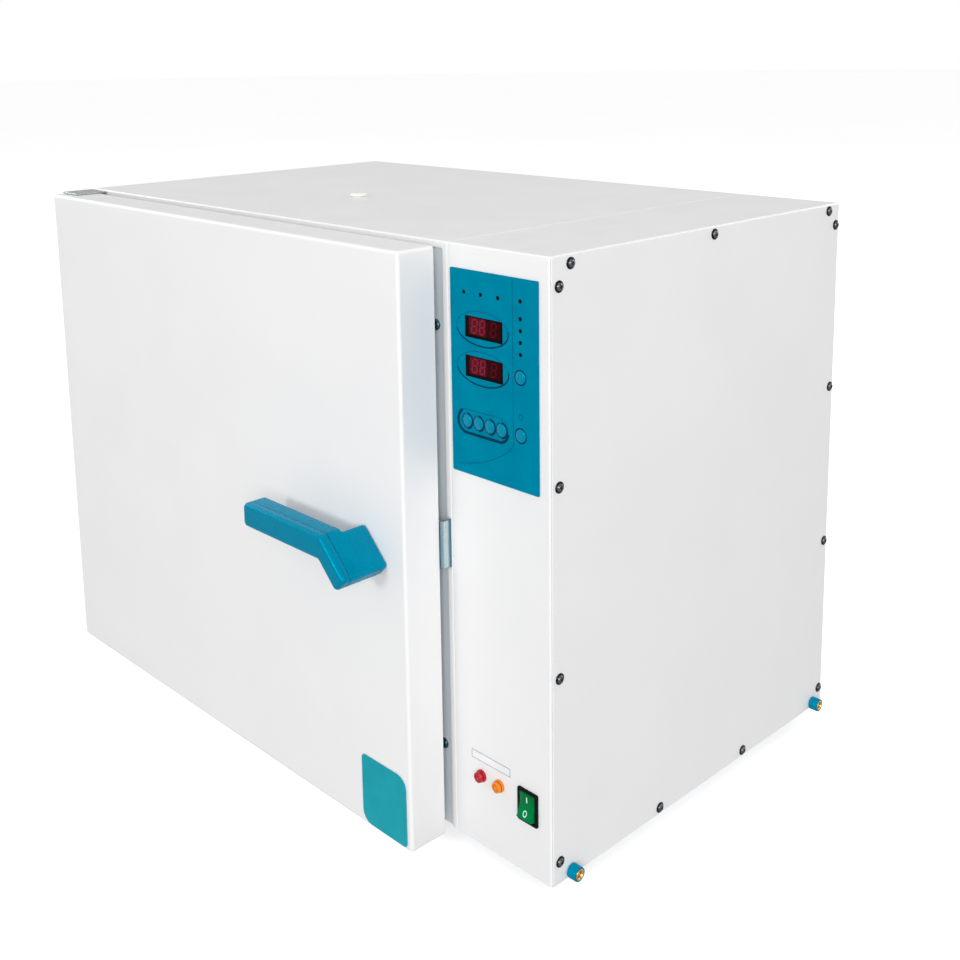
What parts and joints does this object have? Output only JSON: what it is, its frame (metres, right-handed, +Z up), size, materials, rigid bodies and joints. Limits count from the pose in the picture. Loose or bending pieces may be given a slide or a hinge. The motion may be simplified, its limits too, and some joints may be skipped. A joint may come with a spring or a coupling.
{
  "type": "dry heat sterilizer",
  "caption": "Bench hot-air cabinet with a side-hinged insulated door, cranked lever latch, fan-heated chamber with shelves, and a control column with displays, buttons, lamps and a rocker.",
  "frame": {"origin": "middle of the whole product's footprint, on the surface that its feet stand on", "axes": "+X to the right seen from the front, +Y from the door to the back, +Z up"},
  "size_m": [0.6836, 0.5024, 0.5173],
  "materials": {
    "white_paint": "satin powder coat",
    "white_plastic": "moulded, matt",
    "grey_steel": "grey satin coat",
    "galvanised_steel": "galvanised sheet",
    "stainless_steel": "fine brushed",
    "dark_steel": "heat-darkened steel",
    "bright_steel": "ground bright",
    "aluminium": "mill finish",
    "zinc_plate": "blue-passivated zinc",
    "brass": "machined",
    "mineral_wool": "mineral wool batt",
    "silicone": "smooth silicone",
    "rubber": "moulded rubber",
    "teal_plastic": "moulded, fine satin",
    "deep_teal": "satin film",
    "display_red": "dark red filter over unlit digits",
    "black_plastic": "moulded, matt",
    "green_lens": "translucent, polished",
    "red_lens": "translucent, polished",
    "amber_lens": "translucent, polished",
    "board_green": "solder-resist coat"
  },
  "bodies": {
    "cabinet": {"air_baffle": "stainless_steel", "amber_lamp": "amber_lens", "base_plate": "galvanised_steel", "cable_gland": "black_plastic", "chamber_insulation": "mineral_wool", "chamber_liner": "stainless_steel", "column_casing": "white_paint", "control_board": "board_green", "fan_motor": "dark_steel", "front_frame": "grey_steel", "front_left_foot": "rubber", "front_post": "teal_plastic", "front_post_insert": "brass", "front_right_foot": "rubber", "latch_keeper": "zinc_plate", "left_shelf_runner": "stainless_steel", "lower_display": "display_red", "lower_hinge_bracket": "zinc_plate", "lower_hinge_pin": "bright_steel", "main_casing": "white_paint", "membrane_panel": "teal_plastic", "power_module": "aluminium", "rear_left_foot": "rubber", "rear_panel": "white_paint", "rear_post": "teal_plastic", "rear_post_insert": "brass", "rear_right_foot": "rubber", "red_lamp": "red_lens", "right_shelf_runner": "stainless_steel", "right_side_panel": "white_paint", "ring_heater": "dark_steel", "rocker_bezel": "black_plastic", "temperature_probe": "bright_steel", "upper_display": "display_red", "upper_hinge_bracket": "zinc_plate", "upper_hinge_pin": "bright_steel", "vent_cap": "white_plastic", "vent_tube": "stainless_steel"},
    "fan": {"fan_shaft": "bright_steel", "fan_impeller": "aluminium"},
    "lower_shelf": {"lower_shelf": "stainless_steel"},
    "upper_shelf": {"upper_shelf": "stainless_steel"},
    "rocker": {"rocker": "green_lens"},
    "door": {"door_skin": "white_paint", "door_inner_panel": "stainless_steel", "door_insulation": "mineral_wool", "door_gasket": "silicone", "door_plate": "deep_teal", "spindle_bush": "brass", "upper_hinge_bush": "brass", "lower_hinge_bush": "brass"},
    "handle": {"handle_cover": "teal_plastic", "handle_shell": "teal_plastic", "latch_spindle": "zinc_plate"},
    "button_1": {"button_1": "teal_plastic"},
    "button_2": {"button_2": "teal_plastic"},
    "button_3": {"button_3": "teal_plastic"},
    "button_4": {"button_4": "teal_plastic"},
    "select_button": {"select_button": "teal_plastic"},
    "start_button": {"start_button": "teal_plastic"}
  },
  "joints": [
    {"name": "door_hinge", "type": "hinge", "parent": "cabinet", "child": "door", "pos_m": [-0.3298, -0.18745, 0.0115], "axis": [0, 0, -1], "range_deg": [0, 135]},
    {"name": "handle_turn", "type": "hinge", "parent": "door", "child": "handle", "pos_m": [0.1802, -0.2058, 0.2638], "axis": [0, -1, 0], "range_deg": [0, 90]},
    {"name": "fan_spin", "type": "hinge", "parent": "cabinet", "child": "fan", "pos_m": [-0.0668, 0.1459, 0.264], "axis": [0, 1, 0], "continuous": true},
    {"name": "rocker_tip", "type": "hinge", "parent": "cabinet", "child": "rocker", "pos_m": [0.3066, -0.1568, 0.0732], "axis": [1, 0, 0], "range_deg": [0, 22]},
    {"name": "lower_shelf_slide", "type": "slide", "parent": "cabinet", "child": "lower_shelf", "axis": [0, -1, 0], "range_m": [0, 0.02]},
    {"name": "upper_shelf_slide", "type": "slide", "parent": "cabinet", "child": "upper_shelf", "axis": [0, -1, 0], "range_m": [0, 0.02]},
    {"name": "button_1_press", "type": "slide", "parent": "cabinet", "child": "button_1", "axis": [0, 1, 0], "range_m": [0, 0.001], "stiffness_N_per_m": 600, "springref_m": -0.001},
    {"name": "button_2_press", "type": "slide", "parent": "cabinet", "child": "button_2", "axis": [0, 1, 0], "range_m": [0, 0.001], "stiffness_N_per_m": 600, "springref_m": -0.001},
    {"name": "button_3_press", "type": "slide", "parent": "cabinet", "child": "button_3", "axis": [0, 1, 0], "range_m": [0, 0.001], "stiffness_N_per_m": 600, "springref_m": -0.001},
    {"name": "button_4_press", "type": "slide", "parent": "cabinet", "child": "button_4", "axis": [0, 1, 0], "range_m": [0, 0.001], "stiffness_N_per_m": 600, "springref_m": -0.001},
    {"name": "select_button_press", "type": "slide", "parent": "cabinet", "child": "select_button", "axis": [0, 1, 0], "range_m": [0, 0.001], "stiffness_N_per_m": 600, "springref_m": -0.001},
    {"name": "start_button_press", "type": "slide", "parent": "cabinet", "child": "start_button", "axis": [0, 1, 0], "range_m": [0, 0.001], "stiffness_N_per_m": 600, "springref_m": -0.001}
  ]
}
